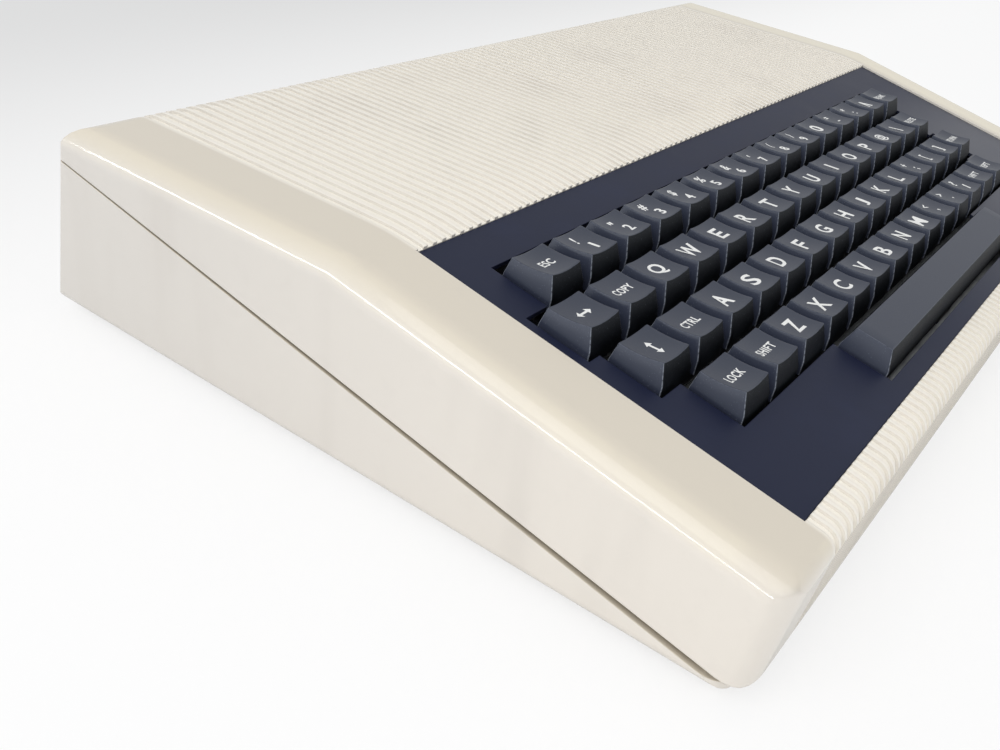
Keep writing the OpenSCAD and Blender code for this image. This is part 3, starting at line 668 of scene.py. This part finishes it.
# %% Legend tables
LEGENDS = [
    ["ESC", "!1", "\"2", "#3", "$4", "%5", "&6", "'7", "(8", ")9", "0", "=-", "*:", "^", "BREAK"],
    ["<>", "COPY", "Q", "W", "E", "R", "T", "Y", "U", "I", "O", "P", "@", "\\", "DELETE"],
    ["^v", "CTRL", "A", "S", "D", "F", "G", "H", "J", "K", "L", "+;", "[", "]", "RETURN"],
    ["LOCK", "SHIFT", "Z", "X", "C", "V", "B", "N", "M", "<,", ">.", "?/", "SHIFT", "REPT"],
]
SINGLE_NAMES = [
    ["key_escape", "key_1", "key_2", "key_3", "key_4", "key_5", "key_6"],
    ["key_sideways", "key_copy", "key_q", "key_w", "key_e", "key_r", "key_t"],
    ["key_upright", "key_ctrl", "key_a", "key_s", "key_d", "key_f", "key_g"],
    ["key_lock", "key_shift", "key_z", "key_x", "key_c", "key_v", "key_b"],
]
BANKS = ["keys_7_to_caret", "keys_y_to_delete", "keys_h_to_bracket", "keys_n_to_repeat"]
OUTER_KEYS = {(0, 14): "key_break", (2, 14): "key_return"}
LEGEND_BACK = 0.2*MM
WORD_HEIGHT, LETTER_HEIGHT = 2.7*MM, 5.8*MM
WORD_WEIGHT = LETTER_WEIGHT = 0.021
MARK_WEIGHT = 0.022
WORD_SPACING = 1.12
UPPER_MARK, LOWER_MARK = (-1.5*MM, 2.8*MM), (1.3*MM, -1.9*MM)
LEGEND_SINK = 0.04*MM
LEGEND_RISE = 0.035*MM


def node_of(row, place):
    if place < len(SINGLE_NAMES[row]):
        return SINGLE_NAMES[row][place]
    return OUTER_KEYS.get((row, place), BANKS[row])


def glyph_mesh(text, height, width, weight):
    """Mesh of a text, flat, centred at the origin, of a height and width in metres."""
    curve = bpy.data.curves.new("legend", "FONT")
    curve.body = text
    curve.resolution_u = 4
    curve.extrude = (LEGEND_SINK + LEGEND_RISE)/2
    curve.offset = weight
    curve.space_character = WORD_SPACING
    holder = bpy.data.objects.new("legend", curve)
    scene.collection.objects.link(holder)
    bpy.context.view_layer.update()
    mesh = bpy.data.meshes.new_from_object(holder.evaluated_get(bpy.context.evaluated_depsgraph_get()))
    bpy.data.objects.remove(holder)
    bpy.data.curves.remove(curve)
    spans = []
    for axis, size in ((0, width), (1, height)):
        values = [v.co[axis] for v in mesh.vertices]
        spans.append(((min(values) + max(values))/2, size/(max(values) - min(values))))
    for vertex in mesh.vertices:
        for axis, (middle, scale) in enumerate(spans):
            vertex.co[axis] = (vertex.co[axis] - middle)*scale
    return mesh


def arrow_mesh(upright):
    """Double arrow, along X or, upright, along Y."""
    half, head, wing, shaft = 2.95*MM, 1.55*MM, 1.3*MM, 0.36*MM
    neck = half - head
    outline = [(-half, 0), (-neck, wing), (-neck, shaft), (neck, shaft), (neck, wing),
               (half, 0), (neck, -wing), (neck, -shaft), (-neck, -shaft), (-neck, -wing)]
    if upright:
        outline = [(-y, x) for x, y in outline]
    count = len(outline)
    thick = (LEGEND_SINK + LEGEND_RISE)/2
    points = [(x, y, thick) for x, y in outline] + [(x, y, -thick) for x, y in outline]
    faces = [(9, 0, 1), (3, 4, 5), (5, 6, 7), (1, 2, 8, 9), (2, 3, 7, 8), (3, 5, 7)]
    sides = [((i + 1) % count, i, count + i, count + (i + 1) % count) for i in range(count)]
    mesh = bpy.data.meshes.new("arrow")
    mesh.from_pydata(points, [], faces + sides)
    return mesh


def lay_on(mesh, cap, shift):
    """Moves a flat mesh onto a cap's top, shifted along the top."""
    middle = (LEGEND_RISE - LEGEND_SINK)/2
    for vertex in mesh.vertices:
        x, y = vertex.co.x + shift[0], vertex.co.y + shift[1] + LEGEND_BACK
        vertex.co = (x, y, cap.surface(x, y) + middle + vertex.co.z)
    mesh.update()


WORD_WIDTH = {"ESC": 5.5, "COPY": 8.4, "CTRL": 7.8, "LOCK": 7.9, "SHIFT": 8.6, "BREAK": 9.2,
              "DELETE": 9.6, "RETURN": 9.6, "REPT": 7.8}
LETTER_WIDTH = {"W": 7.6, "M": 6.6, "I": 1.3, "X": 6.2, "Q": 5.6, "O": 5.6, "E": 4.6, "F": 4.4,
                "L": 4.4, "J": 3.6, "T": 5.6, "@": 6.2, "[": 1.9, "]": 1.9, "\\": 2.6, "^": 4.2}
MARK_SIZE = {"!": (0.8, 3.7), "\"": (1.9, 1.5), "'": (0.8, 1.5), "-": (1.9, 0.6), "=": (2.6, 1.6),
             "*": (2.4, 2.4), ":": (0.8, 2.6), "+": (2.7, 2.7), ";": (0.9, 3.0), "<": (2.6, 2.6),
             ">": (2.6, 2.6), ",": (0.8, 1.5), ".": (0.8, 0.8), "(": (1.2, 4.0), ")": (1.2, 4.0),
             "1": (0.95, 3.7), "#": (3.1, 3.6), "%": (3.7, 3.7), "&": (3.2, 3.7)}


def legend_meshes(text):
    """Meshes of one key's legend with their shifts on the key."""
    if text in ("<>", "^v"):
        return [(arrow_mesh(text == "^v"), (0, 0))]
    if text in WORD_WIDTH:
        return [(glyph_mesh(text, WORD_HEIGHT, WORD_WIDTH[text]*MM, WORD_WEIGHT), (0, 0))]
    if len(text) == 2:
        pair = []
        for mark, shift in zip(text, (UPPER_MARK, LOWER_MARK)):
            wide, tall = MARK_SIZE.get(mark, (2.5, 3.8))
            pair.append((glyph_mesh(mark, tall*MM, wide*MM, MARK_WEIGHT), shift))
        return pair
    width = LETTER_WIDTH.get(text, 5.1)*MM
    return [(glyph_mesh(text, LETTER_HEIGHT, width, LETTER_WEIGHT), (0, 0))]


# %% Make the keys
def make_key(row, place, text):
    node = node_of(row, place)
    key_name = f"cap_{row + 1}_{place + 1}"
    matrix = key_place(row, place)
    cap = add_piece(key_name, shared_cap, matrix, keycap_grey, node)
    plunger = add_piece(f"plunger_{row + 1}_{place + 1}", shared_plunger, matrix, switch_white,
                        node)
    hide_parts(node)
    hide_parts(node)
    for index, (mesh, shift) in enumerate(legend_meshes(text)):
        lay_on(mesh, plain_cap, shift)
        add_piece(f"legend_{row + 1}_{place + 1}_{index}", mesh, matrix, legend_white,
                  node)


switch_white = Finish("switch_plastic", Roughness=0.4)
switch_white.set({"Base Color": switch_white.mix(srgb(225, 222, 210), srgb(200, 196, 182),
                                                 switch_white.noise(2*MM, 3))})
shared_cap = plain_cap.mesh("keycap")
shared_plunger = plunger_mesh("plunger", CAP_CEILING + 0.4*MM)
for row, texts in enumerate(LEGENDS):
    for place, text in enumerate(texts):
        make_key(row, place, text)
print("keys made:", sum(len(row) for row in LEGENDS))

# %% [markdown]
# ## The space bar
#
# It is the same kind of cup, long and with a flat top. The middle stem is the plunger of
# its switch. Two more near its ends run in sleeves, so that it goes down level wherever it
# is pressed.

# %% Space bar
SPACE_EXTRA = (SPACE_LENGTH - 1)*KEY_PITCH/2
SPACE_RISE = 6.5*MM
STEM_SHARE = 0.36
space_cap = Cap((SPACE_EXTRA + 8.2*MM, -8.2*MM, 7.9*MM, 0),
                (SPACE_EXTRA + 6.5*MM, -5.6*MM, 5.9*MM, SPACE_RISE), SPACE_RISE - CAP_WALL, False)
space_stem = plunger_mesh("space_stem", SPACE_RISE - CAP_WALL/2)
space_x = FIRST_X + (SPACE_FIRST + SPACE_LENGTH/2)*KEY_PITCH
space_place = ON_SLOPE @ Matrix.Translation((space_x, FIRST_Y - SPACE_ROW*KEY_PITCH, 0))
space_bar = add_piece("space_bar", space_cap.mesh("space_bar"), space_place, keycap_grey,
                      "key_space")
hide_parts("key_space")
for side in (-1, 0, 1):
    stem_place = space_place @ Matrix.Translation((side*SPACE_LENGTH*KEY_PITCH*STEM_SHARE, 0, 0))
    stem = add_piece(f"space_stem_{side + 2}", space_stem, stem_place, switch_white,
                     "key_space")
    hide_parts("key_space")

# %% [markdown]
# ## Floor and light
#
# The object stands on a white table in the soft light of a bright room: the light comes
# from all round, most of it from above and from the left, and the table throws it back up
# onto the flanks. A low, wide lamp at the left draws the thin line of light along the
# rounded left edge. Seen by the camera the table is paler than its own shading, as in a
# picture exposed for a white ground, so that the shadows on it stay faint.

# %% Floor, world and lamps
FLOOR_NEAR, FLOOR_FAR = 1.0, 0.68
FLOOR_GLOW = 0.72
WORLD_COLOUR, WORLD_STRENGTH = (0.98, 0.99, 1, 1), 0.7


def make_floor():
    bpy.ops.mesh.primitive_plane_add(size=8)
    floor = bpy.context.object
    floor.name = "floor"
    pale = Finish("pale_floor", Roughness=0.8)
    pale.set({"Base Color": (0.95, 0.95, 0.95)})
    # Painted light and shade: the camera sees the floor glow, fading from FLOOR_NEAR to FLOOR_FAR
    # towards the back
    level = pale.place().part("Y").range(0.1, 0.42, FLOOR_NEAR, FLOOR_FAR)
    glow = pale.node("ShaderNodeEmission", {}, {"Strength": level}, "Emission")
    seen = pale.node("ShaderNodeLightPath", output="Is Camera Ray")
    blend = pale.node("ShaderNodeMixShader", {}, {0: FLOOR_GLOW*seen, 2: glow})
    pale.tree.links.new(pale.shader.outputs[0], blend.socket.node.inputs[1])
    output = next(n for n in pale.tree.nodes if n.type == "OUTPUT_MATERIAL")
    pale.tree.links.new(blend.socket, output.inputs["Surface"])
    floor.data.materials.append(pale.material)


make_floor()
world = bpy.data.worlds.new("studio")
world.use_nodes = True
background = world.node_tree.nodes["Background"]
background.inputs["Color"].default_value = WORLD_COLOUR
background.inputs["Strength"].default_value = WORLD_STRENGTH
scene.world = world


def lamp(name, place, target, size, power, lights_matt=True):
    light = bpy.data.lights.new(name, "AREA")
    light.shape = "RECTANGLE"
    light.size, light.size_y = size
    light.energy = power
    holder = bpy.data.objects.new(name, light)
    scene.collection.objects.link(holder)
    holder.location = place
    holder.rotation_euler = (Vector(target) - Vector(place)).to_track_quat("-Z", "Y").to_euler()
    holder.visible_diffuse = lights_matt


lamp("window_left", (-1.6, 0.1, 1.6), (0, 0, 0), (1.8, 1.4), 18)
lamp("edge_light", (-2.0, 0.7, 0.3), (0, 0, 0.05), (2.4, 0.1), 20, lights_matt=False)
lamp("fill_front", (0.5, -1.8, 0.9), (0, 0, 0), (1.8, 1.0), 4)

# %% [markdown]
# ## The electronics and fittings
#
# What is inside is seen only through the sockets at the back or when the case is taken
# off. Each material still shows what the real one does.

# %% Inner finishes
def plain_finish(name, light_tone, dark_tone, size, roughness, metallic=0.0, bump=0.02*MM):
    """A finish with cloudy colour and a fine grain."""
    finish = Finish(name, Metallic=metallic)
    clouds = finish.noise(size, 3)
    grain = finish.noise(size/12, 2)
    finish.set({
        "Base Color": finish.mix(light_tone, dark_tone, clouds.range(0.35, 0.7)),
        "Roughness": roughness + 0.12*(grain - 0.5),
        "Normal": finish.bump(grain, bump, finish.rounded(0.2*MM))})
    return finish


INNER = [
    ("plate_steel", srgb(176, 178, 180), srgb(150, 152, 156), 8*MM, 0.38, 0.9,
     ["key_mounting_plate"]),
    ("housing_plastic", srgb(60, 61, 64), srgb(44, 45, 48), 3*MM, 0.45, 0,
     ["switch_housings", "space_bar_guides"]),
    ("board_green", srgb(38, 92, 58), srgb(28, 74, 48), 5*MM, 0.35, 0,
     ["keyboard_board", "main_board"]),
    ("cable_grey", srgb(168, 168, 166), srgb(146, 146, 145), 4*MM, 0.5, 0, ["keyboard_link"]),
    ("chip_black", srgb(42, 42, 44), srgb(30, 30, 32), 2*MM, 0.55, 0,
     ["large_chips", "memory_chips", "logic_chips", "voltage_regulators"]),
    ("can_metal", srgb(186, 188, 190), srgb(160, 162, 166), 5*MM, 0.3, 0.95,
     ["crystal", "video_modulator"]),
    ("capacitor_sleeve", srgb(46, 74, 120), srgb(36, 58, 100), 3*MM, 0.4, 0, ["capacitors"]),
    ("sink_aluminium", srgb(190, 192, 196), srgb(168, 170, 176), 4*MM, 0.42, 0.9, ["heat_sink"]),
    ("socket_black", srgb(38, 38, 40), srgb(26, 26, 28), 2*MM, 0.4, 0,
     ["cassette_socket", "power_inlet", "loudspeaker"]),
    ("connector_grey", srgb(128, 128, 126), srgb(106, 106, 105), 3*MM, 0.45, 0,
     ["bus_connector", "printer_connector"]),
    ("foot_rubber", srgb(40, 40, 41), srgb(30, 30, 31), 2*MM, 0.8, 0, ["rubber_feet"]),
    ("screw_steel", srgb(170, 170, 172), srgb(140, 140, 144), 1.5*MM, 0.35, 0.95,
     ["case_screws", "board_screws"]),
]
for name, light_tone, dark_tone, size, roughness, metallic, members in INNER:
    dress(plain_finish(name, light_tone, dark_tone, size, roughness, metallic), *members)
print("inner finishes:", len(INNER))

# %% Finish
scene.view_settings.view_transform = "Standard"
